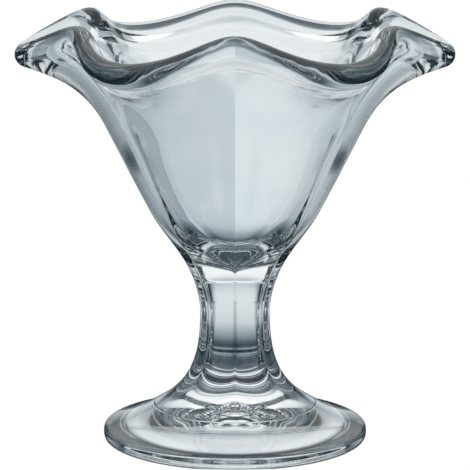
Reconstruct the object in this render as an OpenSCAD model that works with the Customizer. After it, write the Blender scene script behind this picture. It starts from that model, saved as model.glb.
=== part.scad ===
// Footed dessert glass of pressed glass: a lobed bowl with a petal rim, a drawn-in stem and a round foot.
// The glass stands on the plane z = 0 with its axis on z. A crest of the rim faces the front, towards -y.

/* [Rim] */
// Distance across two opposite petal tips
tips_d = 130; // [122:0.5:140]
// Thickness of the rounded lip
lip_t = 7.4; // [5:0.1:8.5]
// Number of petals round the rim
petals = 6; // [5:1:8]
// Drop of the petal tips below the crests between them
petal_drop = 7.4; // [2:0.1:12]
// How far the crests stand in from the petal tips
crest_inset = 9.7; // [4:0.1:14]
// Lean of the petals at the lip, from the upright
petal_lean = 72; // [60:1:80]
// Lean of the crests at the lip, from the upright
crest_lean = 46; // [35:1:60]

/* [Bowl] */
// Height of the bowl from its weld with the stem to the top of the crests
bowl_h = 77.5; // [70:0.5:90]
// Thickness of the bowl's wall up to the shoulder
wall_t = 3.9; // [2.5:0.1:5]
// Thickness of the bowl's wall where the petals flare
flare_wall_t = 5.2; // [3:0.1:6.5]
// Width across the lobes where the petals begin to flare
flare_d = 76.6; // [70:0.2:82]
// Width across the lobes at the bowl's shoulder
shoulder_d = 50.8; // [46:0.2:56]
// Width across the lobes at the weld with the stem
bowl_neck_d = 26; // [23:0.2:30]
// Thickness of the solid glass under the lowest point of the bowl's floor
base_t = 3.2; // [2:0.1:8]
// Slope of the pointed floor, from the level
floor_slope = 32; // [0:1:40]

/* [Stem] */
// Height of the stem from weld to weld
stem_h = 39.5; // [34:0.5:50]
// Width across the lobes at the stem's waist
waist_d = 21; // [18:0.2:23]

/* [Foot] */
// Diameter of the foot
foot_d = 79.4; // [70:0.2:92]
// Height of the foot up to its weld with the stem
foot_h = 10.5; // [8.5:0.1:14]
// Diameter of the foot at its weld with the stem
foot_neck_d = 49; // [40:0.5:54]
// Height of the foot's edge
foot_edge_h = 4.6; // [3:0.1:6]
// Inward reach of the rounding of the foot's edge
foot_edge_round = 2.2; // [1:0.1:3]
// Width of the flat ring that the glass stands on
bearing_w = 4; // [2:0.1:6]
// Thickness of the glass between the top of the hollow and the weld with the stem
hollow_cover = 1.3; // [0.8:0.1:4]
// Height of the step between the bearing ring and the hollow
hollow_step = 0.9; // [0.4:0.1:1.5]

/* [Lobes] */
// Depth of the creases between the stem's lobes, as a share of the lobes' radius
stem_crease_share = 0.14; // [0.06:0.01:0.18]
// Depth of the creases at the weld between stem and bowl
neck_crease_share = 0.1; // [0.04:0.01:0.16]
// Depth of the creases at the bowl's shoulder
shoulder_crease_share = 0.05; // [0.02:0.01:0.1]
// Depth of the creases where the petals begin to flare
flare_crease_share = 0.014; // [0:0.002:0.06]
// Width of the soft groove at the bottom of each crease outside
crease_w = 1.4; // [0.8:0.1:3]
// Softness of the creases on the inside, where 0 is a sharp crease
inner_soft_share = 0.6; // [0.1:0.01:1]
// Softness of the wave along the rim
rim_soft_share = 0.72; // [0.4:0.01:1.5]

/* [Hidden] */
glass_colour = [0.84, 0.87, 0.89];

// Facets along one lobe, along one stretch of a profile, and round the lip
lobe_steps = 12;
stretch_steps = 7;
lip_steps = 8;
edge_steps = 6;
ring_steps = petals * lobe_steps;
circle_steps = 96;

// Heights of the two welds and of the rim
foot_weld_z = foot_h;
bowl_weld_z = foot_h + stem_h;
floor_z = bowl_weld_z + base_t;
lip_r = lip_t / 2;
crest_z = bowl_weld_z + bowl_h - lip_r;
tip_z = crest_z - petal_drop;
tip_r = tips_d / 2 - lip_r;
crest_r = tip_r - crest_inset;

// Heights of the stations of the profiles, as shares of the bowl's and the stem's height
shoulder_share = 0.253;
flare_share = 0.58;
flare_rise_share = 0.27;
waist_share = 0.7;
fade_share = 0.34;
shoulder_z = bowl_weld_z + bowl_h * shoulder_share;
flare_z = bowl_weld_z + bowl_h * flare_share;
waist_z = foot_weld_z + stem_h * waist_share;

// Leans of the profiles at their stations, from the upright
neck_lean = 22;
shoulder_lean = 28;
flare_lean = 27;
foot_neck_lean = -58;
foot_top_lean = -72;
hollow_lean = 110;
hollow_step_lean = 126;
half_turn = 180;
inward_lean = 270;
outward_lean = 90;

// How long the handles of each profile curve are, as shares of the distance between its ends
body_share = 0.36;
petal_share = 0.41;
waist_low_share = 0.52;
round_share = 0.55;
hollow_top_share = 0.18;
hollow_side_share = 0.62;

// Part of the profile, up to the lip, where the creases of the outside stay sharp, and the same on the inside
sharp_share = 0.62;
inner_sharp_share = 0.45;

// Stretches up the outside where the wall begins and ends to thicken towards the flare
thicker_from = 1.1;
thicker_to = 2;

// Part of the way from the flare to the lip where the wall keeps its thickness
even_wall_share = 0.74;

// Places across the foot's underside
bearing_r = foot_d / 2 - foot_edge_round;
hollow_r = bearing_r - bearing_w;
hollow_edge_r = hollow_r - hollow_step;
foot_mid_z = foot_edge_h / 2;
hollow_h = foot_h - hollow_cover;

// A share of the way from one value to another, eased at both ends
function eased(share) = let (t = max(0, min(1, share))) t * t * (3 - 2 * t);

// A value on the way from one to another
function between(from, to, share) = from + (to - from) * share;

// Direction in a profile, as [outward, upward], of a line that leans from the upright
function lean_way(lean) = [sin(lean), cos(lean)];

// A point moved square to its way along a profile, to the left of that way
function moved_left(point, way, depth) = point + depth * [-way[1], way[0]];

// Points of a smooth curve between two stations of a profile, each with its way, without the last one
function stretch(from, from_lean, to, to_lean, from_share, to_share, steps) =
    let (reach = norm(to - from))
    let (from_handle = from + lean_way(from_lean) * reach * from_share)
    let (to_handle = to - lean_way(to_lean) * reach * to_share)
    [for (i = [0 : steps - 1])
        let (t = i / steps)
        let (low = between(from, from_handle, t))
        let (middle = between(from_handle, to_handle, t))
        let (high = between(to_handle, to, t))
        let (before = between(low, middle, t))
        let (after = between(middle, high, t))
        [between(before, after, t), (after - before) / norm(after - before)]];

// The points of a profile without their ways
function places(profile) = [for (at = profile) at[0]];

// How far out of the crease a direction lies: 0 in a crease and 1 on a lobe
function lobe_weight(angle, soft) =
    let (wave = sin(petals * angle / 2))
    (sqrt(wave * wave + soft * soft) - soft) / (sqrt(1 + soft * soft) - soft);

// One closed ring of points that runs from a profile point in the crease to one on the lobe
function lobed_ring(crease, lobe, soft) =
    [for (i = [0 : ring_steps - 1])
        let (angle = 360 * i / ring_steps)
        let (at = between(crease, lobe, lobe_weight(angle, soft)))
        [at[0] * sin(angle), -at[0] * cos(angle), at[1]]];

// Rings that pair a crease profile with a lobe profile
function paired_rings(creases, lobes, softs) =
    [for (i = [0 : len(lobes) - 1]) lobed_ring(creases[i], lobes[i], softs[i])];

// The crease's place beside a point of the lobe's profile
function creased(point, depth_share) = [point[0] * (1 - depth_share), point[1]];

// A closed solid through a pile of rings, from one point on the axis to another
module ring_solid(rings, start, end) {
    count = len(rings);
    last = 1 + (count - 1) * ring_steps;
    points = concat([start], [for (ring = rings) each ring], [end]);
    start_faces = [for (j = [0 : ring_steps - 1]) [0, 1 + j, 1 + (j + 1) % ring_steps]];
    end_faces = [for (j = [0 : ring_steps - 1]) [len(points) - 1, last + (j + 1) % ring_steps, last + j]];
    side_faces = [for (i = [0 : count - 2]) for (j = [0 : ring_steps - 1])
        let (low = 1 + i * ring_steps)
        let (high = low + ring_steps)
        let (k = (j + 1) % ring_steps)
        each [[low + j, high + j, high + k], [low + j, high + k, low + k]]];
    polyhedron(points = points, faces = concat(start_faces, side_faces, end_faces));
}

// Stations of the bowl's outside and of the lip
neck = [bowl_neck_d / 2, bowl_weld_z];
shoulder = [shoulder_d / 2, shoulder_z];
flare = [flare_d / 2, flare_z];
neck_crease = creased(neck, neck_crease_share);
shoulder_crease = creased(shoulder, shoulder_crease_share);
flare_crease = creased(flare, flare_crease_share) + [0, petal_drop * flare_rise_share];
tip_centre = [tip_r, tip_z];
crest_centre = [crest_r, crest_z];
tip_outside = moved_left(tip_centre, lean_way(petal_lean), -lip_r);
crest_outside = moved_left(crest_centre, lean_way(crest_lean), -lip_r);

// Profile up the outside of the bowl, from the weld to the lip
function outside(neck, shoulder, flare, lip, lip_lean, reach_share) = concat(
    stretch(neck, neck_lean, shoulder, shoulder_lean, body_share, body_share, stretch_steps),
    stretch(shoulder, shoulder_lean, flare, flare_lean, body_share, body_share, stretch_steps),
    stretch(flare, flare_lean, lip, lip_lean, reach_share, reach_share, stretch_steps),
    [[lip, lean_way(lip_lean)]]);

// Thickness of the glass beside one point of the outside, which grows to the flare and swells to the lip near the end
function wall_at(step) =
    let (up = step / stretch_steps)
    let (wall = between(wall_t, flare_wall_t, eased((up - thicker_from) / (thicker_to - thicker_from))))
    between(wall, lip_t, eased((up - 2 - even_wall_share) / (1 - even_wall_share)));

// Profile down the inside of the bowl: the outside moved in from the lip down, then the pointed floor
function inside(outer) =
    let (steps = len(outer) - 1)
    let (wall = [for (i = [steps : -1 : stretch_steps])
        moved_left(outer[i][0], outer[i][1], wall_at(i))])
    let (low = wall[len(wall) - 1])
    let (bottom = stretch(low, shoulder_lean + half_turn, [0, floor_z], inward_lean - floor_slope,
        body_share, body_share, stretch_steps))
    concat(wall, [for (i = [1 : len(bottom) - 1]) bottom[i][0]]);

// Half round of the lip between its outside and its inside
function lip_round(centre, lean) =
    [for (i = [1 : lip_steps - 1])
        let (turn = half_turn * i / lip_steps - lean)
        centre + lip_r * [cos(turn), sin(turn)]];

// Bowl with its lobed wall, petal rim and solid base
module bowl() {
    lobes = outside(neck, shoulder, flare, tip_outside, petal_lean, petal_share);
    creases = outside(neck_crease, shoulder_crease, flare_crease, crest_outside, crest_lean, body_share);
    softs = [for (i = [0 : len(lobes) - 1])
        let (up = i / (len(lobes) - 1))
        between(crease_w / lobes[i][0][0], rim_soft_share, eased((up - sharp_share) / (1 - sharp_share)))];
    inner_lobes = inside(lobes);
    inner_creases = inside(creases);
    inner_softs = [for (i = [0 : len(inner_lobes) - 1])
        let (down = i / len(inner_lobes))
        between(rim_soft_share, inner_soft_share, eased(down / inner_sharp_share))];
    lip_softs = [for (i = [1 : lip_steps - 1]) rim_soft_share];
    rings = concat(
        paired_rings(places(creases), places(lobes), softs),
        paired_rings(lip_round(crest_centre, crest_lean), lip_round(tip_centre, petal_lean), lip_softs),
        paired_rings(inner_creases, inner_lobes, inner_softs));
    color(glass_colour) ring_solid(rings, [0, 0, bowl_weld_z], [0, 0, floor_z]);
}

// Stem with lobes that fade out downwards into the round foot
module stem() {
    foot_neck = [foot_neck_d / 2, foot_weld_z];
    waist = [waist_d / 2, waist_z];
    lobes = places(concat(
        stretch(foot_neck, foot_neck_lean, waist, 0, body_share, waist_low_share, 2 * stretch_steps),
        stretch(waist, 0, neck, neck_lean, body_share, body_share, stretch_steps),
        [[neck, lean_way(neck_lean)]]));
    fades = [for (at = lobes) eased((at[1] - foot_weld_z) / (stem_h * fade_share))];
    rises = [for (at = lobes) eased((at[1] - waist_z) / (bowl_weld_z - waist_z))];
    creases = [for (i = [0 : len(lobes) - 1])
        creased(lobes[i], between(stem_crease_share, neck_crease_share, rises[i]) * fades[i])];
    softs = [for (i = [0 : len(lobes) - 1]) between(rim_soft_share, crease_w / lobes[i][0], fades[i])];
    color(glass_colour)
        ring_solid(paired_rings(creases, lobes, softs), [0, 0, foot_weld_z], [0, 0, bowl_weld_z]);
}

// Round foot with a rounded edge, a flat bearing ring and a blunt cone of a hollow underneath
module foot() {
    edge = [foot_d / 2, foot_mid_z];
    edge_top = [foot_d / 2 - foot_edge_round, foot_edge_h];
    foot_neck = [foot_neck_d / 2, foot_weld_z];
    profile = concat(
        places(stretch([0, hollow_h], outward_lean, [hollow_edge_r, hollow_step], hollow_lean,
            hollow_top_share, hollow_side_share, 2 * edge_steps)),
        places(stretch([hollow_edge_r, hollow_step], hollow_step_lean, [hollow_r, 0], outward_lean,
            body_share, body_share, edge_steps)),
        [[hollow_r, 0]],
        places(stretch([bearing_r, 0], outward_lean, edge, 0, round_share, round_share, edge_steps)),
        places(stretch(edge, 0, edge_top, foot_top_lean, round_share, round_share, edge_steps)),
        places(stretch(edge_top, foot_top_lean, foot_neck, foot_neck_lean,
            body_share, body_share, 2 * edge_steps)),
        [foot_neck, [0, foot_weld_z]]);
    color(glass_colour) rotate_extrude($fn = circle_steps) polygon(profile);
}

bowl();
stem();
foot();
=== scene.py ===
"""Looks of a footed dessert glass of clear pressed glass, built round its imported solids."""

import logging
import math
from dataclasses import dataclass, fields
from enum import Enum
from typing import Any, Dict, List, Mapping, Optional, Sequence, Tuple, Union

import bpy
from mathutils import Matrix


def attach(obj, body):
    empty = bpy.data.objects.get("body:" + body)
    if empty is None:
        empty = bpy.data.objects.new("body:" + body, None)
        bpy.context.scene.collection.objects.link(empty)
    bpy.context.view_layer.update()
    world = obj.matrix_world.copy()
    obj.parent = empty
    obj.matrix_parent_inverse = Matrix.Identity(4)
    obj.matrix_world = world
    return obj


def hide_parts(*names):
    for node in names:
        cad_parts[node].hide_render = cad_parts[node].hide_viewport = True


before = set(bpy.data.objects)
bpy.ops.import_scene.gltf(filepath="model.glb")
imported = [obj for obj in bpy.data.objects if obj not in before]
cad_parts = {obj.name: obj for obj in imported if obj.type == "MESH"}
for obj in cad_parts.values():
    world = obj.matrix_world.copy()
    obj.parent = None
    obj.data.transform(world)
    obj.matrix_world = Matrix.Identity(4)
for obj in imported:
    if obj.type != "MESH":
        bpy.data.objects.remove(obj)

LOG = logging.getLogger("dessert_glass")
IMAGE_PX = 470
MERGE_DISTANCE = 4e-7
WELD_DEPTH = 1e-5
HALF_RING = 0.5
SAME_COUNT = 0.1
Colour = Tuple[float, float, float]
Limits = Tuple[float, float]
Stops = Tuple[Tuple[float, float], ...]
Operand = Union["Value", float, int, Tuple[float, ...]]


class Turn(Enum):
    """Leans in a profile that stand for fixed directions, in radians from the upright."""

    UP = 0.0
    OUT = math.pi / 2
    DOWN = math.pi
    IN = 3 * math.pi / 2


class Value:
    """A socket's number or vector, with operators that add the nodes for them."""

    def __init__(self, nodes: "Nodes", socket: bpy.types.NodeSocket) -> None:
        """Wraps one output socket of a tree.

        Args:
            nodes: The tree's builder.
            socket: The output socket that carries the value.
        """
        self.nodes = nodes
        self.socket = socket

    def __add__(self, other: Operand) -> "Value":
        """Sum."""
        return self.nodes.math("ADD", self, other)

    def __radd__(self, other: Operand) -> "Value":
        """Sum, the other way round."""
        return self.nodes.math("ADD", other, self)

    def __sub__(self, other: Operand) -> "Value":
        """Difference."""
        return self.nodes.math("SUBTRACT", self, other)

    def __rsub__(self, other: Operand) -> "Value":
        """Difference, the other way round."""
        return self.nodes.math("SUBTRACT", other, self)

    def __mul__(self, other: Operand) -> "Value":
        """Product."""
        return self.nodes.math("MULTIPLY", self, other)

    def __rmul__(self, other: Operand) -> "Value":
        """Product, the other way round."""
        return self.nodes.math("MULTIPLY", other, self)

    def __truediv__(self, other: Operand) -> "Value":
        """Quotient."""
        return self.nodes.math("DIVIDE", self, other)

    def __rtruediv__(self, other: Operand) -> "Value":
        """Quotient, the other way round."""
        return self.nodes.math("DIVIDE", other, self)

    def __neg__(self) -> "Value":
        """The value with its sign turned."""
        return self.nodes.math("MULTIPLY", self, -1.0)

    def __abs__(self) -> "Value":
        """The value without its sign."""
        return self.nodes.math("ABSOLUTE", self)

    def __lt__(self, other: Operand) -> "Value":
        """1 where the value is below the other one."""
        return self.nodes.math("LESS_THAN", self, other)

    def __gt__(self, other: Operand) -> "Value":
        """1 where the value is above the other one."""
        return self.nodes.math("GREATER_THAN", self, other)

    def sin(self) -> "Value":
        """Sine."""
        return self.nodes.math("SINE", self)

    def cos(self) -> "Value":
        """Cosine."""
        return self.nodes.math("COSINE", self)

    def root(self) -> "Value":
        """Square root."""
        return self.nodes.math("SQRT", self)

    def eased(self, low: float = 0.0, high: float = 1.0) -> "Value":
        """A share that eases from 0 at one value to 1 at another.

        Args:
            low: Value where the share is 0.
            high: Value where the share is 1.

        Returns:
            The eased share, held between 0 and 1.
        """
        return self.nodes.pick("ShaderNodeMapRange", {"interpolation_type": "SMOOTHSTEP"},
                               {"Value": self, "From Min": low, "From Max": high}, "Result")

    def parts(self) -> Tuple["Value", "Value", "Value"]:
        """The x, y and z of a vector."""
        node = self.nodes.add("ShaderNodeSeparateXYZ", {}, {"Vector": self})
        return tuple(Value(self.nodes, socket) for socket in node.outputs)


class Nodes:
    """Adds nodes to one tree and links them."""

    def __init__(self, tree: bpy.types.NodeTree) -> None:
        """Takes over a tree.

        Args:
            tree: The node tree that gets the nodes.
        """
        self.tree = tree

    def add(self, kind: str, settings: Mapping[str, Any], sockets: Mapping[Any, Any]) -> bpy.types.Node:
        """Adds one node.

        Args:
            kind: The node's type.
            settings: Its properties, which are set first. The stops of a ramp are pairs of place and tone.
            sockets: Values or links for its inputs, by name, identifier or number.

        Returns:
            The new node.
        """
        node = self.tree.nodes.new(kind)
        for name, value in settings.items():
            if name == "stops":
                self._set_stops(node.color_ramp, value)
            else:
                setattr(node, name, value)
        for key, value in sockets.items():
            socket = self._input(node, key)
            if isinstance(value, Value):
                self.tree.links.new(value.socket, socket)
            else:
                socket.default_value = value
        return node

    def pick(self, kind: str, settings: Mapping[str, Any], sockets: Mapping[Any, Any],
             output: Union[int, str]) -> Value:
        """Adds one node and takes one of its outputs.

        Args:
            kind: The node's type.
            settings: Its properties, which are set first.
            sockets: Values or links for its inputs.
            output: Name, identifier or number of the output.

        Returns:
            The output's value.
        """
        node = self.add(kind, settings, sockets)
        if isinstance(output, int):
            return Value(self, node.outputs[output])
        return Value(self, next(s for s in node.outputs if output in (s.identifier, s.name)))

    def math(self, operation: str, *operands: Operand) -> Value:
        """Adds a Math node, or a Vector Math node where an operand is a vector.

        Args:
            operation: The node's operation.
            operands: Its inputs in order.

        Returns:
            The result.
        """
        vectors = [self._is_vector(each) for each in operands]
        if not any(vectors):
            return self.pick("ShaderNodeMath", {"operation": operation}, dict(enumerate(operands)), 0)
        if operation == "MULTIPLY" and not all(vectors):
            vector, scale = operands if vectors[0] else operands[::-1]
            return self.pick("ShaderNodeVectorMath", {"operation": "SCALE"}, {0: vector, "Scale": scale}, 0)
        return self.pick("ShaderNodeVectorMath", {"operation": operation}, dict(enumerate(operands)), 0)

    def mix(self, first: Operand, second: Operand, share: Operand) -> Value:
        """A value, vector or colour on the way from one to another.

        Args:
            first: Result at share 0.
            second: Result at share 1.
            share: How far along it is.

        Returns:
            The blend.
        """
        kind, name = "FLOAT", "Float"
        if self._is_vector(first) or self._is_vector(second):
            kind, name = "VECTOR", "Vector"
        if any(isinstance(each, tuple) and len(each) == 4 for each in (first, second)):
            kind, name = "RGBA", "Color"
        return self.pick("ShaderNodeMix", {"data_type": kind, "clamp_factor": False},
                         {"Factor_Float": share, f"A_{name}": first, f"B_{name}": second}, f"Result_{name}")

    def ramp(self, value: Value, stops: Stops) -> Value:
        """A tone that follows a value from stop to stop.

        Args:
            value: The value to follow.
            stops: Pairs of value and tone, in rising order.

        Returns:
            The tone, which is even outside the stops.
        """
        low, high = stops[0][0], stops[-1][0]
        share = self.pick("ShaderNodeMapRange", {}, {"Value": value, "From Min": low, "From Max": high}, "Result")
        spread = [((place - low) / (high - low), tone) for place, tone in stops]
        return self.pick("ShaderNodeValToRGB", {"stops": spread}, {"Fac": share}, "Color").parts()[0]

    def vector(self, x: Operand, y: Operand, z: Operand) -> Value:
        """A vector of three numbers."""
        return self.pick("ShaderNodeCombineXYZ", {}, {0: x, 1: y, 2: z}, 0)

    @staticmethod
    def _is_vector(operand: Operand) -> bool:
        """True for a vector's socket or three plain numbers."""
        if isinstance(operand, Value):
            return operand.socket.type == "VECTOR"
        return isinstance(operand, tuple) and len(operand) == 3

    @staticmethod
    def _input(node: bpy.types.Node, key: Union[int, str]) -> bpy.types.NodeSocket:
        """A node's input by number, identifier or name."""
        if isinstance(key, int):
            return node.inputs[key]
        return next(s for s in node.inputs if key in (s.identifier, s.name))

    @staticmethod
    def _set_stops(ramp: bpy.types.ColorRamp, stops: Sequence[Tuple[float, float]]) -> None:
        """Gives a ramp its stops.

        Args:
            ramp: The ramp of a Color Ramp node.
            stops: Pairs of place and grey tone.
        """
        while len(ramp.elements) < len(stops):
            ramp.elements.new(1.0)
        for element, (place, tone) in zip(ramp.elements, stops):
            element.position = place
            element.color = (tone, tone, tone, 1.0)


class Profile(Nodes):
    """A Geometry Nodes tree for a piece that runs in rings round the glass's axis."""

    def __init__(self, name: str, piece: Any) -> None:
        """Starts a tree with one named input for each size of a piece.

        Args:
            name: Name of the tree.
            piece: A dataclass whose fields are the sizes.
        """
        super().__init__(bpy.data.node_groups.new(name, "GeometryNodeTree"))
        self.sizes: Dict[str, float] = {}
        for each in fields(piece):
            socket = self.tree.interface.new_socket(
                each.name.replace("_", " ").capitalize(), in_out="INPUT", socket_type="NodeSocketFloat")
            self.sizes[socket.identifier] = float(getattr(piece, each.name))
        self.tree.interface.new_socket("Mesh", in_out="OUTPUT", socket_type="NodeSocketGeometry")
        source = self.add("NodeGroupInput", {}, {})
        for each, socket in zip(fields(piece), source.outputs):
            setattr(self, each.name, Value(self, socket))

    def way(self, lean: Operand) -> Value:
        """Direction in a profile of a line that leans from the upright."""
        return self.vector(self.math("SINE", lean), 0.0, self.math("COSINE", lean))

    def left(self, way: Value) -> Value:
        """Direction square to a way along a profile, to its left."""
        out, _, up = way.parts()
        return self.vector(-up, 0.0, out)

    def stretch(self, start: Value, start_lean: Operand, end: Value, end_lean: Operand,
                handles: Tuple[float, float], factor: Value) -> Tuple[Value, Value]:
        """A smooth stretch of a profile between two stations.

        Args:
            start: Place where it starts.
            start_lean: Its lean there.
            end: Place where it ends.
            end_lean: Its lean there.
            handles: Lengths of its two handles, as shares of the distance between its ends.
            factor: How far along it is, from 0 to 1.

        Returns:
            The place on it and the way along it there.
        """
        node = self.add("GeometryNodeGroup", {"node_tree": stretch_group()}, {
            "From": start, "From lean": start_lean, "To": end, "To lean": end_lean,
            "From share": handles[0], "To share": handles[1], "Factor": factor})
        return Value(self, node.outputs["Place"]), Value(self, node.outputs["Way"])

    def switch(self, test: Value, where_false: Value, where_true: Value) -> Value:
        """One of two vectors, by a test."""
        return self.pick("GeometryNodeSwitch", {"input_type": "VECTOR"},
                         {"Switch": test, "False": where_false, "True": where_true}, "Output")

    def rings(self, around: int, count: int, lobes: int, crowding: float) -> Tuple[Value, Value, Value]:
        """A grid to be bent into rings.

        Args:
            around: Faces round one ring.
            count: Faces along the profile.
            lobes: Number of creases round a ring.
            crowding: How much closer the points stand in the creases.

        Returns:
            The grid, each point's ring and each point's angle round the axis from the front.
        """
        grid = self.pick("GeometryNodeMeshGrid", {}, {
            "Size X": 1.0, "Size Y": 1.0, "Vertices X": around + 1, "Vertices Y": count + 1}, "Mesh")
        across, along, _ = self.pick("GeometryNodeInputPosition", {}, {}, 0).parts()
        turn = (across + 0.5) * math.tau
        ring = self.math("ROUND", (along + 0.5) * float(count))
        return grid, ring, turn - (turn * float(lobes)).sin() * (crowding / lobes)

    def weight(self, angle: Value, soft: Value, lobes: int) -> Value:
        """How far out of the crease a direction lies.

        Args:
            angle: Angle round the axis.
            soft: Softness of the crease.
            lobes: Number of lobes round the piece.

        Returns:
            0 in a crease and 1 on a lobe.
        """
        wave = (angle * (lobes / 2)).sin()
        return ((wave * wave + soft * soft).root() - soft) / ((soft * soft + 1.0).root() - soft)

    def close(self, grid: Value, ring_place: Value, angle: Value, weld: Value, rim: Optional[Value],
              glass: bpy.types.Material, fused: bpy.types.Material) -> None:
        """Bends the grid into the closed piece and ends the tree.

        Args:
            grid: The grid of rings.
            ring_place: Each point's place in the profile.
            angle: Each point's angle round the axis.
            weld: 1 on faces where the piece is fused to the next one, from the face's height.
            rim: How near each point is to the lip, or None for a piece without one.
            glass: Material of the piece.
            fused: Material of the faces where it is fused to the next piece.
        """
        out, _, up = ring_place.parts()
        place = self.vector(out * angle.sin(), -(out * angle.cos()), up)
        mesh = grid
        if rim is not None:
            mesh = self.pick("GeometryNodeStoreNamedAttribute", {"data_type": "FLOAT", "domain": "POINT"},
                             {"Geometry": mesh, "Name": ClearGlass.RIM, "Value": rim}, "Geometry")
        mesh = self.pick("GeometryNodeSetPosition", {}, {"Geometry": mesh, "Position": place}, 0)
        mesh = self.pick("GeometryNodeMergeByDistance", {}, {"Geometry": mesh, "Distance": MERGE_DISTANCE}, 0)
        mesh = self.pick("GeometryNodeSetShadeSmooth", {}, {0: mesh, 1: True, 2: weld < 0.5}, 0)
        mesh = self.pick("GeometryNodeRealizeInstances", {}, {0: mesh}, 0)
        mesh = self.pick("GeometryNodeSetMaterial", {}, {"Geometry": mesh, "Material": glass}, 0)
        mesh = self.pick("GeometryNodeSetMaterial", {},
                         {"Geometry": mesh, "Selection": weld, "Material": fused}, 0)
        self.add("NodeGroupOutput", {}, {0: mesh})

    def height(self) -> Value:
        """Height of each point or face of the mesh at hand."""
        return self.pick("GeometryNodeInputPosition", {}, {}, 0).parts()[2]

    def mesh_object(self, name: str) -> bpy.types.Object:
        """Runs the tree and keeps its result as a plain mesh.

        Args:
            name: Name of the new piece.

        Returns:
            The piece, at the origin and without modifiers.
        """
        piece = bpy.data.objects.new(name, bpy.data.meshes.new(name))
        bpy.context.scene.collection.objects.link(piece)
        modifier = piece.modifiers.new("form", "NODES")
        modifier.node_group = self.tree
        for identifier, value in self.sizes.items():
            modifier[identifier] = value
        depsgraph = bpy.context.evaluated_depsgraph_get()
        mesh = bpy.data.meshes.new_from_object(
            piece.evaluated_get(depsgraph), preserve_all_data_layers=True, depsgraph=depsgraph)
        piece.modifiers.clear()
        piece.data = mesh
        mesh.name = name
        while mesh.materials and mesh.materials[0] is None:
            mesh.materials.pop(index=0)
        return piece


def stretch_group() -> bpy.types.NodeTree:
    """Node group for one smooth stretch of a profile.

    Returns:
        The group, which is made on the first call.
    """
    name = "profile stretch"
    if name in bpy.data.node_groups:
        return bpy.data.node_groups[name]
    nodes = Nodes(bpy.data.node_groups.new(name, "GeometryNodeTree"))
    face = nodes.tree.interface
    inputs = (("From", "Vector"), ("From lean", "Float"), ("To", "Vector"), ("To lean", "Float"),
              ("From share", "Float"), ("To share", "Float"), ("Factor", "Float"))
    for label, kind in inputs:
        face.new_socket(label, in_out="INPUT", socket_type="NodeSocket" + kind)
    for label in ("Place", "Way"):
        face.new_socket(label, in_out="OUTPUT", socket_type="NodeSocketVector")
    given = [Value(nodes, socket) for socket in nodes.add("NodeGroupInput", {}, {}).outputs[:len(inputs)]]
    start, start_lean, end, end_lean, start_share, end_share, factor = given
    reach = nodes.pick("ShaderNodeVectorMath", {"operation": "DISTANCE"}, {0: start, 1: end}, "Value")
    share = nodes.pick("ShaderNodeClamp", {}, {"Value": factor}, 0)
    start_handle = start + nodes.vector(start_lean.sin(), 0.0, start_lean.cos()) * (reach * start_share)
    end_handle = end - nodes.vector(end_lean.sin(), 0.0, end_lean.cos()) * (reach * end_share)
    middle = nodes.mix(start_handle, end_handle, share)
    before = nodes.mix(nodes.mix(start, start_handle, share), middle, share)
    after = nodes.mix(middle, nodes.mix(end_handle, end, share), share)
    way = nodes.math("NORMALIZE", after - before)
    nodes.add("NodeGroupOutput", {}, {"Place": nodes.mix(before, after, share), "Way": way})
    return nodes.tree


def emptied(owner: Union[bpy.types.Material, bpy.types.World]) -> Nodes:
    """Builder for the tree of a material or a world, without the nodes that it starts with.

    Args:
        owner: The new material or world.

    Returns:
        The builder.
    """
    owner.use_nodes = True
    owner.node_tree.nodes.clear()
    return Nodes(owner.node_tree)


@dataclass(frozen=True)
class Grain:
    """A soft random pattern: its fineness per metre, its detail, and how rough and how warped it is."""

    fineness: float
    detail: float
    roughness: float
    warp: float = 0.0

    def over(self, nodes: Nodes, place: Value) -> Value:
        """The pattern at each place, from 0 to 1."""
        return nodes.pick("ShaderNodeTexNoise", {}, {
            "Vector": place, "Scale": self.fineness, "Detail": self.detail, "Roughness": self.roughness,
            "Distortion": self.warp}, 0)


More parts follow.
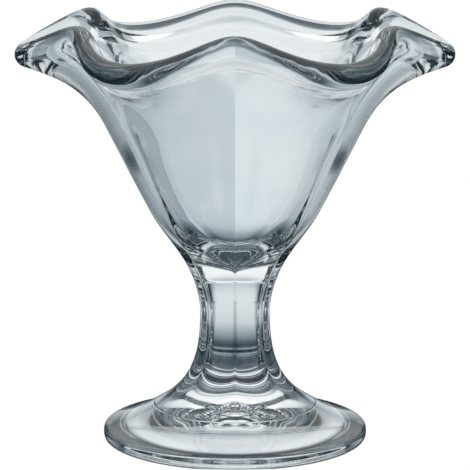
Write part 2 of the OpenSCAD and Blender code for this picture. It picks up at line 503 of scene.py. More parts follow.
@dataclass(frozen=True)
class ClearGlass:
    """Fire-polished pressed glass: clear and faintly cool, rippled along the lip, dulled where it stands."""

    tint_deep: Colour = (0.90, 0.945, 0.965)
    tint_light: Colour = (0.965, 0.985, 0.995)
    shadow_tint: Colour = (0.93, 0.95, 0.96)
    refraction: float = 1.52
    polish: float = 0.012
    haze: float = 0.03
    wear: float = 0.12
    wear_height: float = 0.0005
    wave_depth: float = 0.00005
    ripple_depth: float = 0.00007
    ripples_round: float = 2.6
    ripples_out: float = 210.0
    ripples_up: float = 120.0
    clouds: Grain = Grain(38.0, 3.0, 0.55)
    smears: Grain = Grain(160.0, 4.0, 0.6)
    scuffs: Grain = Grain(900.0, 3.0, 0.7)
    waves: Grain = Grain(1 / 0.021, 1.0, 0.4)
    ripples: Grain = Grain(1.0, 2.0, 0.5, 0.6)
    cloud_limits: Limits = (0.35, 0.65)
    smear_limits: Limits = (0.5, 0.8)
    scuff_limits: Limits = (0.3, 0.6)
    RIM = "rim"

    def material(self) -> bpy.types.Material:
        """Builds the glass.

        Returns:
            The material, which lets light through to the table.
        """
        made = bpy.data.materials.new("pressed_clear_glass")
        nodes = emptied(made)
        place = nodes.pick("ShaderNodeTexCoord", {}, {}, "Object")
        x, y, z = place.parts()
        cloud = self.clouds.over(nodes, place).eased(*self.cloud_limits)
        tint = nodes.mix((*self.tint_deep, 1.0), (*self.tint_light, 1.0), cloud)
        smear = self.smears.over(nodes, place).eased(*self.smear_limits)
        scuff = self.scuffs.over(nodes, place).eased(*self.scuff_limits)
        standing = 1 - z.eased(0.0, self.wear_height)
        roughness = self.polish + smear * self.haze + standing * scuff * self.wear
        rim = nodes.pick("ShaderNodeAttribute", {"attribute_name": self.RIM}, {}, "Fac")
        far = (x * x + y * y).root()
        around = nodes.vector(x / far * self.ripples_round, y / far * self.ripples_round,
                              far * self.ripples_out + z * self.ripples_up)
        ripple = self.ripples.over(nodes, around) * rim
        relief = self.waves.over(nodes, place) * self.wave_depth + ripple * self.ripple_depth
        bump = nodes.pick("ShaderNodeBump", {}, {"Height": relief, "Strength": 1.0, "Distance": 1.0}, 0)
        body = nodes.pick("ShaderNodeBsdfPrincipled", {}, {
            "Base Color": tint, "Roughness": roughness, "IOR": self.refraction,
            "Transmission Weight": 1.0, "Normal": bump}, 0)
        clear = nodes.pick("ShaderNodeBsdfTransparent", {}, {"Color": (*self.shadow_tint, 1.0)}, 0)
        shadow = nodes.pick("ShaderNodeLightPath", {}, {}, "Is Shadow Ray")
        surface = nodes.pick("ShaderNodeMixShader", {}, {0: shadow, 1: body, 2: clear}, 0)
        nodes.add("ShaderNodeOutputMaterial", {}, {"Surface": surface})
        return made


@dataclass(frozen=True)
class FusedFace:
    """The place inside the glass where two pressings are fused, which nothing shows."""

    name: str = "fused_face"

    def material(self) -> bpy.types.Material:
        """Builds the unseen face.

        Returns:
            The material, which light crosses unbent.
        """
        made = bpy.data.materials.new(self.name)
        nodes = emptied(made)
        clear = nodes.pick("ShaderNodeBsdfTransparent", {}, {"Color": (1.0, 1.0, 1.0, 1.0)}, 0)
        nodes.add("ShaderNodeOutputMaterial", {}, {"Surface": clear})
        return made


@dataclass
class Bowl:
    """Flaring bowl with six lobes, shallow creases between them and a thick petal rim. Lengths in metres."""

    tips_width: float = 0.130
    lip_thickness: float = 0.0074
    petal_drop: float = 0.0074
    crest_inset: float = 0.0097
    petal_lean: float = math.radians(72)
    crest_lean: float = math.radians(46)
    weld_height: float = 0.050
    bowl_height: float = 0.0775
    wall: float = 0.0039
    flare_wall: float = 0.0052
    flare_width: float = 0.0766
    shoulder_width: float = 0.0508
    neck_width: float = 0.026
    base_thickness: float = 0.0032
    floor_slope: float = math.radians(32)
    neck_lean: float = math.radians(22)
    shoulder_lean: float = math.radians(28)
    flare_lean: float = math.radians(27)
    neck_crease: float = 0.10
    shoulder_crease: float = 0.05
    flare_crease: float = 0.014
    crease_width: float = 0.0014
    inner_soft: float = 0.6
    rim_soft: float = 0.72

    PETALS = 6
    AROUND = 336
    STRETCHES = 3
    STEPS = 40
    LIP_STEPS = 22
    SHOULDER_SHARE = 0.253
    FLARE_SHARE = 0.58
    FLARE_RISE = 0.27
    HANDLE = 0.36
    PETAL_HANDLE = 0.41
    THICKER = (1.1, 2.0)
    EVEN_WALL = 0.74
    SHARP_OUT = 0.62
    SHARP_IN = 0.45
    RIPPLED = (2.35, 2.8)
    CROWDING = 0.55

    def build(self, glass: bpy.types.Material, fused: bpy.types.Material) -> bpy.types.Object:
        """Makes the bowl's mesh.

        Args:
            glass: Material of the bowl.
            fused: Material of the face that is fused to the stem.

        Returns:
            The bowl.
        """
        tree = Profile("bowl form", self)
        lip_r = tree.lip_thickness * 0.5
        crest_z = tree.weld_height + tree.bowl_height - lip_r
        tip_r = tree.tips_width * 0.5 - lip_r
        lips = {
            "tip": (tree.vector(tip_r, 0.0, crest_z - tree.petal_drop), tree.petal_lean),
            "crest": (tree.vector(tip_r - tree.crest_inset, 0.0, crest_z), tree.crest_lean)}
        outer_end = 1 + self.STRETCHES * self.STEPS
        inner_start = outer_end + self.LIP_STEPS
        floor_start = inner_start + (self.STRETCHES - 1) * self.STEPS
        count = floor_start + self.STEPS
        grid, ring, angle = tree.rings(self.AROUND, count, self.PETALS, self.CROWDING)
        inner = ring > outer_end + HALF_RING
        down = (ring - inner_start) / self.STEPS
        along = tree.mix((ring - 1.0) / self.STEPS, self.STRETCHES - down, inner)
        on_lip = inner * (ring < inner_start - HALF_RING)
        creases = (tree.neck_crease, tree.shoulder_crease, tree.flare_crease, tree.petal_drop * self.FLARE_RISE)
        flat = (0.0, 0.0, 0.0, 0.0)
        lobe = self._profile(tree, flat, *lips["tip"], self.PETAL_HANDLE, along, inner)
        crease = self._profile(tree, creases, *lips["crest"], self.HANDLE, along, inner)
        lobe_out = lobe.parts()[0]
        places: List[Value] = []
        for wall, name, shares in ((crease, "crest", creases), (lobe, "tip", flat)):
            centre, lean = lips[name]
            turn = (ring - outer_end) * (math.pi / self.LIP_STEPS) - lean
            lip = centre + tree.vector(turn.cos(), 0.0, turn.sin()) * lip_r
            floor = self._floor(tree, shares[1], (ring - floor_start) / self.STEPS)
            place = tree.switch(on_lip, wall, lip)
            places.append(tree.switch(ring > floor_start + HALF_RING, place, floor))
        outer_soft = tree.mix(tree.crease_width / lobe_out, tree.rim_soft,
                              (along / self.STRETCHES).eased(self.SHARP_OUT, 1.0))
        inner_soft = tree.mix(tree.rim_soft, tree.inner_soft,
                              (down / self.STRETCHES).eased(0.0, self.SHARP_IN))
        weight = tree.weight(angle, tree.mix(outer_soft, inner_soft, inner), self.PETALS)
        place = tree.mix(places[0], places[1], weight)
        place = tree.switch(ring < HALF_RING, place, tree.vector(0.0, 0.0, tree.weld_height))
        weld = tree.height() < tree.weld_height + WELD_DEPTH
        tree.close(grid, place, angle, weld, along.eased(*self.RIPPLED), glass, fused)
        return tree.mesh_object("glass_bowl")

    def _stations(self, tree: Profile, shares: Sequence[Operand]) -> List[Value]:
        """Stations of one profile up the outside.

        Args:
            tree: The bowl's tree.
            shares: Depths of the crease at neck, shoulder and flare, and its rise at the flare.

        Returns:
            Places of the neck, the shoulder and the flare.
        """
        shoulder_z = tree.weld_height + tree.bowl_height * self.SHOULDER_SHARE
        flare_z = tree.weld_height + tree.bowl_height * self.FLARE_SHARE + shares[3]
        return [tree.vector(tree.neck_width * 0.5 * (1.0 - shares[0]), 0.0, tree.weld_height),
                tree.vector(tree.shoulder_width * 0.5 * (1.0 - shares[1]), 0.0, shoulder_z),
                tree.vector(tree.flare_width * 0.5 * (1.0 - shares[2]), 0.0, flare_z)]

    def _profile(self, tree: Profile, shares: Sequence[Operand], centre: Value, lean: Value, handle: float,
                 along: Value, inner: Value) -> Value:
        """One profile of the bowl's wall, up the outside and down the inside.

        Args:
            tree: The bowl's tree.
            shares: Depths of the crease at the stations.
            centre: Centre of the lip's round.
            lean: Lean of the wall at the lip.
            handle: Length of the handles of the stretch up to the lip.
            along: Place along the outside, in stretches.
            inner: 1 on the inside, where the wall's thickness is added.

        Returns:
            The place of each point.
        """
        neck, shoulder, flare = self._stations(tree, shares)
        lip_r = tree.lip_thickness * 0.5
        lip = centre - tree.left(tree.way(lean)) * lip_r
        even = (self.HANDLE, self.HANDLE)
        low = tree.stretch(neck, tree.neck_lean, shoulder, tree.shoulder_lean, even, along)
        middle = tree.stretch(shoulder, tree.shoulder_lean, flare, tree.flare_lean, even, along - 1.0)
        high = tree.stretch(flare, tree.flare_lean, lip, lean, (handle, handle), along - 2.0)
        place, way = (tree.switch(along > 2.0, tree.switch(along > 1.0, a, b), c)
                      for a, b, c in zip(low, middle, high))
        wall = tree.mix(tree.wall, tree.flare_wall, along.eased(*self.THICKER))
        wall = tree.mix(wall, tree.lip_thickness, (along - 2.0).eased(self.EVEN_WALL, 1.0))
        return place + tree.left(way) * (wall * inner)

    def _floor(self, tree: Profile, share: Operand, factor: Value) -> Value:
        """The pointed floor, from the inside of the shoulder to the axis.

        Args:
            tree: The bowl's tree.
            share: Depth of the crease at the shoulder.
            factor: How far along the floor a point is.

        Returns:
            The place of each point.
        """
        shoulder = self._stations(tree, (0.0, share, 0.0, 0.0))[1]
        start = shoulder + tree.left(tree.way(tree.shoulder_lean)) * tree.wall
        end = tree.vector(0.0, 0.0, tree.weld_height + tree.base_thickness)
        return tree.stretch(start, tree.shoulder_lean + Turn.DOWN.value, end, Turn.IN.value - tree.floor_slope,
                            (self.HANDLE, self.HANDLE), factor)[0]


@dataclass
class Stem:
    """Drawn-in stem whose lobes fade out downwards into the round foot. Lengths in metres."""

    foot_neck_width: float = 0.049
    waist_width: float = 0.021
    neck_width: float = 0.026
    foot_weld: float = 0.0105
    stem_height: float = 0.0395
    foot_neck_lean: float = math.radians(-58)
    neck_lean: float = math.radians(22)
    waist_crease: float = 0.14
    neck_crease: float = 0.10
    crease_width: float = 0.0014
    rim_soft: float = 0.72

    PETALS = 6
    AROUND = 336
    LOW_PARTS = 2
    PARTS = 3
    STEPS = 48
    WAIST_SHARE = 0.7
    FADE_SHARE = 0.34
    HANDLE = 0.36
    LOW_HANDLE = 0.52
    CROWDING = 0.55

    def build(self, glass: bpy.types.Material, fused: bpy.types.Material) -> bpy.types.Object:
        """Makes the stem's mesh.

        Args:
            glass: Material of the stem.
            fused: Material of the faces that are fused to bowl and foot.

        Returns:
            The stem.
        """
        tree = Profile("stem form", self)
        waist_z = tree.foot_weld + tree.stem_height * self.WAIST_SHARE
        top_z = tree.foot_weld + tree.stem_height
        foot_neck = tree.vector(tree.foot_neck_width * 0.5, 0.0, tree.foot_weld)
        waist = tree.vector(tree.waist_width * 0.5, 0.0, waist_z)
        neck = tree.vector(tree.neck_width * 0.5, 0.0, top_z)
        count = self.PARTS * self.STEPS + 2
        grid, ring, angle = tree.rings(self.AROUND, count, self.PETALS, self.CROWDING)
        along = (ring - 1.0) / self.STEPS
        low = tree.stretch(foot_neck, tree.foot_neck_lean, waist, Turn.UP.value,
                           (self.HANDLE, self.LOW_HANDLE), along / self.LOW_PARTS)[0]
        high = tree.stretch(waist, Turn.UP.value, neck, tree.neck_lean,
                            (self.HANDLE, self.HANDLE), along - self.LOW_PARTS)[0]
        out, _, up = tree.switch(along > self.LOW_PARTS, low, high).parts()
        fade = ((up - tree.foot_weld) / (tree.stem_height * self.FADE_SHARE)).eased()
        rise = ((up - waist_z) / (top_z - waist_z)).eased()
        depth = tree.mix(tree.waist_crease, tree.neck_crease, rise) * fade
        weight = tree.weight(angle, tree.mix(tree.rim_soft, tree.crease_width / out, fade), self.PETALS)
        place = tree.vector(out * (1.0 - depth * (1.0 - weight)), 0.0, up)
        place = tree.switch(ring < HALF_RING, place, tree.vector(0.0, 0.0, tree.foot_weld))
        place = tree.switch(ring > count - HALF_RING, place, tree.vector(0.0, 0.0, top_z))
        weld = (tree.height() < tree.foot_weld + WELD_DEPTH) + (tree.height() > top_z - WELD_DEPTH)
        tree.close(grid, place, angle, weld, None, glass, fused)
        return tree.mesh_object("glass_stem")


@dataclass
class Foot:
    """Round foot with a rounded edge, a flat bearing ring and a blunt cone of a hollow. Lengths in metres."""

    foot_width: float = 0.0794
    foot_height: float = 0.0105
    foot_neck_width: float = 0.049
    edge_height: float = 0.0046
    edge_round: float = 0.0022
    bearing_width: float = 0.004
    hollow_cover: float = 0.0013
    hollow_step: float = 0.0009
    top_lean: float = math.radians(-72)
    neck_lean: float = math.radians(-58)
    hollow_lean: float = math.radians(110)
    step_lean: float = math.radians(126)

    AROUND = 300
    STEPS = (40, 12, 3, 14, 14, 48)
    HANDLE = 0.36
    ROUND_HANDLE = 0.55
    HOLLOW_HANDLES = (0.18, 0.62)

    def build(self, glass: bpy.types.Material, fused: bpy.types.Material) -> bpy.types.Object:
        """Makes the foot's mesh.

        Args:
            glass: Material of the foot.
            fused: Material of the face that is fused to the stem.

        Returns:
            The foot.
        """
        tree = Profile("foot form", self)
        foot_r = tree.foot_width * 0.5
        bearing_r = foot_r - tree.edge_round
        hollow_r = bearing_r - tree.bearing_width
        out = Turn.OUT.value
        even, full = (self.HANDLE, self.HANDLE), (self.ROUND_HANDLE, self.ROUND_HANDLE)
        centre = tree.vector(0.0, 0.0, tree.foot_height - tree.hollow_cover)
        hollow_edge = tree.vector(hollow_r - tree.hollow_step, 0.0, tree.hollow_step)
        hollow_end = tree.vector(hollow_r, 0.0, 0.0)
        bearing_end = tree.vector(bearing_r, 0.0, 0.0)
        edge = tree.vector(foot_r, 0.0, tree.edge_height * 0.5)
        edge_top = tree.vector(bearing_r, 0.0, tree.edge_height)
        neck = tree.vector(tree.foot_neck_width * 0.5, 0.0, tree.foot_height)
        stretches = (
            (centre, out, hollow_edge, tree.hollow_lean, self.HOLLOW_HANDLES),
            (hollow_edge, tree.step_lean, hollow_end, out, even),
            (hollow_end, out, bearing_end, out, even),
            (bearing_end, out, edge, Turn.UP.value, full),
            (edge, Turn.UP.value, edge_top, tree.top_lean, full),
            (edge_top, tree.top_lean, neck, tree.neck_lean, even))
        count = sum(self.STEPS) + 1
        grid, ring, angle = tree.rings(self.AROUND, count, lobes=1, crowding=0.0)
        place = centre
        done = 0
        for steps, stretch in zip(self.STEPS, stretches):
            on_it = tree.stretch(*stretch, (ring - float(done)) / steps)[0]
            place = tree.switch(ring > done - HALF_RING, place, on_it)
            done += steps
        place = tree.switch(ring > count - HALF_RING, place, tree.vector(0.0, 0.0, tree.foot_height))
        weld = tree.height() > tree.foot_height - WELD_DEPTH
        tree.close(grid, place, angle, weld, None, glass, fused)
        return tree.mesh_object("glass_foot")


class Faces(Enum):
    """Numbers of faces that a ray has met, as limits of a share or as a count."""

    FIRST = 1.5
    ONE_WALL = 2.0
    TWO_WALLS = 4.5
    TURNED = 5.0
    THIRD = (2.0, 3.0)
    FIFTH = (4.0, 5.0)
    THIN_GLASS = (1.8, 4.0)

    def met(self, nodes: Nodes, faces: Value) -> Value:
        """1 where a ray has met just this number of faces."""
        return nodes.math("COMPARE", faces, self.value, SAME_COUNT)


@dataclass(frozen=True)
class LongWays:
    """Painted shade: what a ray shows after it has turned back and forth in the thick glass fades to one dim tone,
    by the faces it has met.
    """

    stops: Stops = ((5.5, 0.0), (7.5, 0.3), (9.5, 0.7), (12.5, 1.0))
    tone: float = 0.025

    def faded(self, nodes: Nodes, tone: Value, faces: Value) -> Value:
        """A tone at the end of a ray, faded by the ray's way.

        Args:
            nodes: The tree's builder.
            tone: The tone without fading.
            faces: Number of faces that the ray has met.

        Returns:
            The faded tone.
        """
        return nodes.mix(tone, self.tone, nodes.ramp(faces, self.stops))


@dataclass(frozen=True)
class LightTent:
    """White surroundings with dark gaps low down, the same six times round the glass. Angles in degrees."""

    sweep: Stops = (
        (0.0, 0.84), (5.0, 0.84), (8.0, 0.77), (10.5, 0.68), (13.5, 0.56), (16.5, 0.62), (20.0, 0.83), (24.0, 0.97))
    low_half: float = 16.5
    high_half: float = 36.0
    low_soft: float = 7.0
    high_soft: float = 3.0
    high_rise: Limits = (14.5, 18.5)
    side_gain: float = 0.55
    ceiling: float = 1.1
    ceiling_rise: Limits = (38.5, 46.5)
    shade: float = 0.014
    # Painted shade: share of the tent's tone that first reflections keep
    gloss: float = 0.4
    # Painted shade on rays that met five faces, towards the sides
    turned: float = 0.08
    turned_from: Limits = (25.0, 40.0)
    fill: float = 0.9

    REPEAT = 60.0
    BACK_EDGE = (29.0, 31.0)
    DARKEST = (0.003, 0.006, 0.009)
    COOL_RED = 1.15
    COOL_BLUE = 0.93

    @classmethod
    def cool(cls, nodes: Nodes, tone: Value) -> Value:
        """A grey that is cooler the darker it is."""
        red, blue = (nodes.math("POWER", tone, power) for power in (cls.COOL_RED, cls.COOL_BLUE))
        return nodes.math("MAXIMUM", nodes.vector(red, tone, blue), cls.DARKEST)

    @classmethod
    def directions(cls, nodes: Nodes, x: Value, y: Value) -> Tuple[Value, Value, Value]:
        """Directions round the glass, from the back.

        Args:
            nodes: The tree's builder.
            x: Place or direction to the right.
            y: Place or direction to the back.

        Returns:
            The angle, the angle without its sign and the angle from the middle of the nearest window.
        """
        turn = nodes.math("ARCTAN2", x, y) * math.degrees(1)
        aside = abs(turn)
        return turn, aside, nodes.math("PINGPONG", aside, cls.REPEAT / 2)

    def gain(self, nodes: Nodes, aside: Value) -> Value:
        """How light a window is, full at the back and less on the other sides."""
        return nodes.mix(1.0, self.side_gain, aside.eased(*self.BACK_EDGE))

    def build(self) -> None:
        """Makes the world: white to the camera, the tent in glass and in reflections, plain fill on the table."""
        world = bpy.data.worlds.new("light_tent")
        bpy.context.scene.world = world
        nodes = emptied(world)
        path = nodes.add("ShaderNodeLightPath", {}, {})
        faces, camera, glossy, through = (Value(nodes, path.outputs[name]) for name in (
            "Ray Depth", "Is Camera Ray", "Is Glossy Ray", "Is Transmission Ray"))
        # Painted shade: first reflections of the tent are dimmed, and rays that met many faces fade to a dim tone
        tone = self._tone(nodes, faces) * nodes.mix(1.0, self.gloss, faces < Faces.FIRST.value)
        tent = self.cool(nodes, LongWays().faded(nodes, tone, faces))
        fill = nodes.vector(self.fill, self.fill, self.fill)
        seen = nodes.mix(fill, tent, nodes.math("MAXIMUM", glossy, through))
        seen = nodes.mix(seen, (1.0, 1.0, 1.0), camera)
        shine = nodes.pick("ShaderNodeBackground", {}, {"Color": seen, "Strength": 1.0}, 0)
        nodes.add("ShaderNodeOutputWorld", {}, {"Surface": shine})

    def _tone(self, nodes: Nodes, faces: Value) -> Value:
        """Tone of the tent in each direction, with painted shade on rays that met five faces and leave towards the
        sides.

        Args:
            nodes: The world's builder.
            faces: Number of faces that a ray has met.

        Returns:
            The tone, from 0 to about 1.
        """
        x, y, z = nodes.pick("ShaderNodeTexCoord", {}, {}, "Generated").parts()
        _, aside, off = self.directions(nodes, x, y)
        rise = nodes.math("ARCSINE", z) * math.degrees(1)
        high = rise.eased(*self.high_rise)
        half = nodes.mix(self.low_half, self.high_half, high)
        soft = nodes.mix(self.low_soft, self.high_soft, high)
        window = 1.0 - ((off - half) / soft).eased(-1.0, 1.0)
        light = window * self.gain(nodes, aside) * nodes.ramp(rise, self.sweep)
        light = nodes.mix(nodes.math("MAXIMUM", light, self.shade), self.ceiling, rise.eased(*self.ceiling_rise))
        # Painted shade: rays that met five faces and leave towards the sides are darkened
        turned = Faces.TURNED.met(nodes, faces) * aside.eased(*self.turned_from)
        return light * nodes.mix(1.0, self.turned, turned)


@dataclass(frozen=True)
class RayEnd:
    """Where rays from the glass end on the table, and how they came there."""

    x: Value
    y: Value
    far: Value
    turn: Value
    aside: Value
    off: Value
    faces: Value
    length: Value
    one_wall: Value

    @classmethod
    def found(cls, nodes: Nodes, faces: Value, length: Value) -> "RayEnd":
        """Works out the ends' places and directions.

        Args:
            nodes: The table's builder.
            faces: Number of faces that a ray has met.
            length: Its way from the last face to the table.

        Returns:
            The ends.
        """
        x, y, _ = nodes.pick("ShaderNodeTexCoord", {}, {}, "Object").parts()
        turn, aside, off = LightTent.directions(nodes, x, y)
        return cls(x, y, (x * x + y * y).root(), turn, aside, off, faces, length,
                   Faces.ONE_WALL.met(nodes, faces))

    def thin_walls(self, nodes: Nodes) -> Value:
        """1 for rays that came through one or two walls and nothing else."""
        odd = nodes.math("PINGPONG", self.faces - Faces.ONE_WALL.value, 1.0)
        return nodes.math("COMPARE", odd, 0.0, SAME_COUNT) * (self.faces < Faces.TWO_WALLS.value)


@dataclass(frozen=True)
class Table:
    """Pale table, white to the camera but for the glass's soft shadow; in the glass it shows painted light and
    shade: a painted light field between dark sides and a painted shadow with light rings round the foot.

    Lengths in metres, angles in degrees from the back.
    """

    reach: float = 12.0
    gap: float = 0.0001
    glow: float = 0.92
    albedo: float = 0.12
    # Painted shade: share of the table's tone that first reflections keep
    gloss: float = 0.35
    # Painted tones by distance from the axis and by direction: a painted shadow round the glass with painted light
    # rings in it, and painted light and shade round about
    falloff: Stops = (
        (0.034, 0.04), (0.04, 0.07), (0.044, 0.42), (0.047, 0.42), (0.051, 0.04), (0.056, 0.06), (0.0585, 0.4),
        (0.0605, 0.4), (0.063, 0.1), (0.069, 0.09), (0.079, 0.18), (0.091, 0.36), (0.104, 0.5), (0.118, 0.65),
        (0.132, 0.79), (0.147, 0.9), (0.186, 0.95), (0.3, 1.0))
    side_reach: float = 0.3
    side_reach_from: Limits = (30.0, 80.0)
    front_reach: float = 0.4
    front_reach_from: Limits = (85.0, 130.0)
    round_tones: Stops = (
        (-180.0, 0.5), (-110.0, 0.46), (-95.0, 0.5), (-86.0, 0.5), (-60.0, 0.53), (-40.0, 0.57), (-30.0, 0.53),
        (-20.0, 0.48), (-15.2, 0.46), (-14.0, 0.72), (-10.0, 0.7), (-5.0, 0.67), (-1.2, 0.66), (1.2, 0.86),
        (12.0, 0.86), (16.0, 0.77), (24.0, 0.73), (60.0, 0.71), (80.0, 0.7), (100.0, 0.6), (180.0, 0.6))
    window_tones: Stops = ((60.0, 0.82), (85.0, 0.5), (120.0, 0.5), (150.0, 1.0))
    # Painted light ring behind the foot
    ring_gain: float = 2.2
    ring_end: Limits = (0.058, 0.066)
    ring_half: Limits = (12.0, 25.0)
    # Painted light field between painted dark sides
    field_half: float = 0.178
    field_spread: float = 0.12
    field_edge: Limits = (0.96, 1.14)
    beyond: float = 0.03
    beyond_walls: float = 0.48
    side_tones: Stops = ((10.5, 1.0), (16.0, 0.5), (23.0, 0.14), (28.0, 0.06))
    # Painted light that thin walls show at the sides and from above, and painted shade along the back rim
    side_walls: float = 0.78
    side_walls_from: Limits = (32.0, 44.0)
    side_walls_far: Limits = (0.1, 0.16)
    steep: Limits = (0.0, 0.006)
    steep_far: Limits = (0.05, 0.062)
    single_wall: float = 0.42
    single_wall_from: Limits = (13.0, 21.0)
    single_wall_far: Limits = (0.1, 0.14)
    rim_tones: Stops = ((0.2, 0.1), (0.29, 0.14), (0.36, 0.3), (0.45, 1.0))
    rim_short: Limits = (0.0105, 0.0135)
    rim_half: Limits = (12.0, 18.0)
    # Painted light and shade on the ground under the foot
    under_tones: Tuple[float, float] = (0.6, 0.8)
    under_half: float = 0.022
    under_edge: Limits = (0.028, 0.033)
    under_deep: Tuple[float, float] = (0.08, 0.015)
    under_narrow: float = 0.28

    def build(self) -> bpy.types.Object:
        """Makes the table.

        Returns:
            The table's top.
        """
        mesh = bpy.data.meshes.new("table")
        half = self.reach / 2
        corners = [(-half, -half, 0), (half, -half, 0), (half, half, 0), (-half, half, 0)]
        mesh.from_pydata(corners, [], [(0, 1, 2, 3)])
        table = bpy.data.objects.new("table", mesh)
        table.location.z = -self.gap
        bpy.context.scene.collection.objects.link(table)
        mesh.materials.append(self._material())
        return table

    def _material(self) -> bpy.types.Material:
        """Finish of the table: real light and shadow to the camera, painted light and shade in the glass.

        Returns:
            The material.
        """
        made = bpy.data.materials.new("table_top")
        nodes = emptied(made)
        path = nodes.add("ShaderNodeLightPath", {}, {})
        faces, length, glossy, through = (Value(nodes, path.outputs[name]) for name in (
            "Ray Depth", "Ray Length", "Is Glossy Ray", "Is Transmission Ray"))
        # Painted light and shade: what the glass shows of the table is an emission of these tones, with the painted
        # fade of long ways
        tone = self._tone(nodes, RayEnd.found(nodes, faces, length))
        seen = LightTent.cool(nodes, LongWays().faded(nodes, tone, faces))
        in_glass = nodes.pick("ShaderNodeEmission", {}, {"Color": seen, "Strength": 1.0}, 0)
        matt = nodes.pick("ShaderNodeBsdfDiffuse", {}, {"Color": (self.albedo,) * 3 + (1.0,)}, 0)
        glow = nodes.pick("ShaderNodeEmission", {}, {"Color": (1.0, 1.0, 1.0, 1.0), "Strength": self.glow}, 0)
        lit = nodes.pick("ShaderNodeAddShader", {}, {0: matt, 1: glow}, 0)
        share = nodes.math("MAXIMUM", glossy, through)
        surface = nodes.pick("ShaderNodeMixShader", {}, {0: share, 1: lit, 2: in_glass}, 0)
        nodes.add("ShaderNodeOutputMaterial", {}, {"Surface": surface})
        return made

    def _tone(self, nodes: Nodes, end: RayEnd) -> Value:
        """Painted light and shade of the table as the glass shows it.

        Args:
            nodes: The material's builder.
            end: The ends of the rays.

        Returns:
            The tone, from 0 to about 1.
        """
        tone = self._through_walls(nodes, end, self._field(nodes, end))
        tone = self._under(nodes, end, tone)
        # Painted shade: first reflections of the table are dimmed
        return tone * nodes.mix(1.0, self.gloss, end.faces < Faces.FIRST.value)

    def _field(self, nodes: Nodes, end: RayEnd) -> Value:
        """The painted light field behind the glass, the painted light ring in it and the painted dark sides.

        Args:
            nodes: The material's builder.
            end: The ends of the rays.

        Returns:
            The tone before thin walls and the ground under the foot change it.
        """
        reach = end.far * (1.0 + end.aside.eased(*self.side_reach_from) * self.side_reach
                           + end.aside.eased(*self.front_reach_from) * self.front_reach)
        around = nodes.mix(nodes.ramp(end.turn, self.round_tones), nodes.ramp(end.aside, self.window_tones),
                           end.one_wall)
        # Painted shadow round the glass with painted light rings, times painted light and shade by direction
        tone = nodes.ramp(reach, self.falloff) * around
        # Painted light ring behind the foot
        behind = (1.0 - end.aside.eased(*self.ring_half)) * (1.0 - end.far.eased(*self.ring_end))
        tone = tone * nodes.mix(1.0, self.ring_gain, end.faces.eased(*Faces.THIRD.value) * behind)
        # Painted light field, dark beyond its edges
        half = self.field_half + nodes.math("MAXIMUM", end.y, 0.0) * self.field_spread
        beyond = nodes.mix(self.beyond, self.beyond_walls, end.thin_walls(nodes))
        tone = nodes.mix(tone, beyond, (abs(end.x) / half).eased(*self.field_edge))
        # Painted light windows at the sides
        windows = nodes.ramp(end.off, self.side_tones) * LightTent().gain(nodes, end.aside)
        return tone * nodes.mix(windows, 1.0, end.faces.eased(*Faces.THIN_GLASS.value))

    def _through_walls(self, nodes: Nodes, end: RayEnd, tone: Value) -> Value:
        """The tone as thin walls show it: painted shade along the back rim, painted light at the sides and from
        above.

        Args:
            nodes: The material's builder.
            end: The ends of the rays.
            tone: The tone of the field.

        Returns:
            The changed tone.
        """
        # Painted shade along the back rim
        rim = end.one_wall * (end.far - end.length).eased(*self.rim_short) * (1.0 - end.aside.eased(*self.rim_half))
        tone = tone * nodes.mix(1.0, nodes.ramp(end.far, self.rim_tones), rim)
        # Painted light on single walls at the sides, and on thin walls beside and above
        single = end.one_wall * end.aside.eased(*self.single_wall_from) * end.far.eased(*self.single_wall_far)
        tone = nodes.math("MAXIMUM", tone, single * self.single_wall)
        beside = end.aside.eased(*self.side_walls_from) * end.far.eased(*self.side_walls_far)
        above = end.one_wall * (end.length - end.far).eased(*self.steep) * end.far.eased(*self.steep_far)
        share = nodes.math("MAXIMUM", end.thin_walls(nodes) * beside, above)
        return nodes.mix(tone, self.side_walls, share)

    def _under(self, nodes: Nodes, end: RayEnd, tone: Value) -> Value:
        """The tone with painted light and shade on the ground under the foot, painted darker for rays on long ways.

        Args:
            nodes: The material's builder.
            end: The ends of the rays.
            tone: The tone round the foot.

        Returns:
            The tone with that ground.
        """
        # Painted light and shade under the foot, darker for rays that met more faces
        under = nodes.mix(*self.under_tones, (-end.y).eased(-self.under_half, self.under_half))
        for deep, faces in zip(self.under_deep, (Faces.THIRD, Faces.FIFTH)):
            under = nodes.mix(under, deep, end.faces.eased(*faces.value))
        width = end.far * (1.0 + end.faces.eased(*Faces.THIRD.value) * self.under_narrow)
        return nodes.mix(under, tone, width.eased(*self.under_edge))


@dataclass(frozen=True)
class PhotoCamera:
    """Camera at the photograph's angle, fitted to the glass's outline."""

    distance: float = 0.771
    target_height: float = 0.062
    rise: float = math.radians(10.86)
    focal_px: float = 2578.0
    sensor_mm: float = 36.0

    def build(self) -> bpy.types.Object:
        """Makes the camera and hands the scene to it.

        Returns:
            The camera.
        """
        data = bpy.data.cameras.new("photo_camera")
        data.sensor_width = self.sensor_mm
        data.lens = self.focal_px / IMAGE_PX * self.sensor_mm
        camera = bpy.data.objects.new("photo_camera", data)
        bpy.context.scene.collection.objects.link(camera)
        camera.location = (0.0, -self.distance * math.cos(self.rise),
                           self.target_height + self.distance * math.sin(self.rise))
        camera.rotation_euler = (math.pi / 2 - self.rise, 0.0, 0.0)
        bpy.context.scene.camera = camera
        return camera


@dataclass(frozen=True)
class LightPaths:
    """How often light may bend and bounce in the thick glass."""

    bounces: int = 24
    clear_faces: int = 32

    def apply(self) -> None:
        """Sets the scene's bounces and its plain view."""
        scene = bpy.context.scene
        scene.cycles.max_bounces = self.bounces
        scene.cycles.transmission_bounces = self.bounces
        scene.cycles.glossy_bounces = self.bounces
        scene.cycles.transparent_max_bounces = self.clear_faces
        scene.cycles.use_denoising = True
        scene.view_settings.view_transform = "Standard"


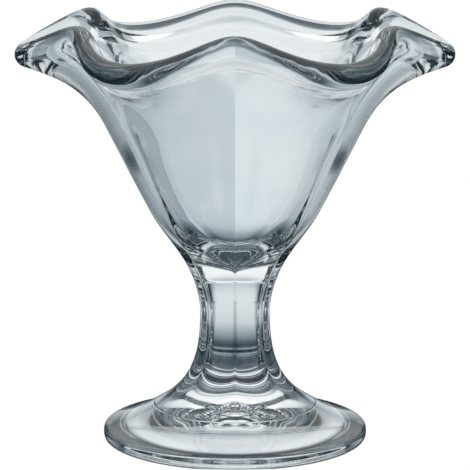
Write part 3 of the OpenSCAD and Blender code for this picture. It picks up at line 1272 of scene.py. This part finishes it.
def main() -> None:
    """Builds the glass and its stage in order."""
    logging.basicConfig(level=logging.INFO, format="%(name)s: %(message)s")
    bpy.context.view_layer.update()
    LightPaths().apply()
    PhotoCamera().build()
    LightTent().build()
    Table().build()
    glass = ClearGlass().material()
    fused = FusedFace().material()
    for node, piece_maker in (("bowl", Bowl()), ("stem", Stem()), ("foot", Foot())):
        piece = piece_maker.build(glass, fused)
        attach(piece, "root")
        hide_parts(node)
        LOG.info("%s: %d faces", piece.name, len(piece.data.polygons))


if __name__ == "__main__":
    main()
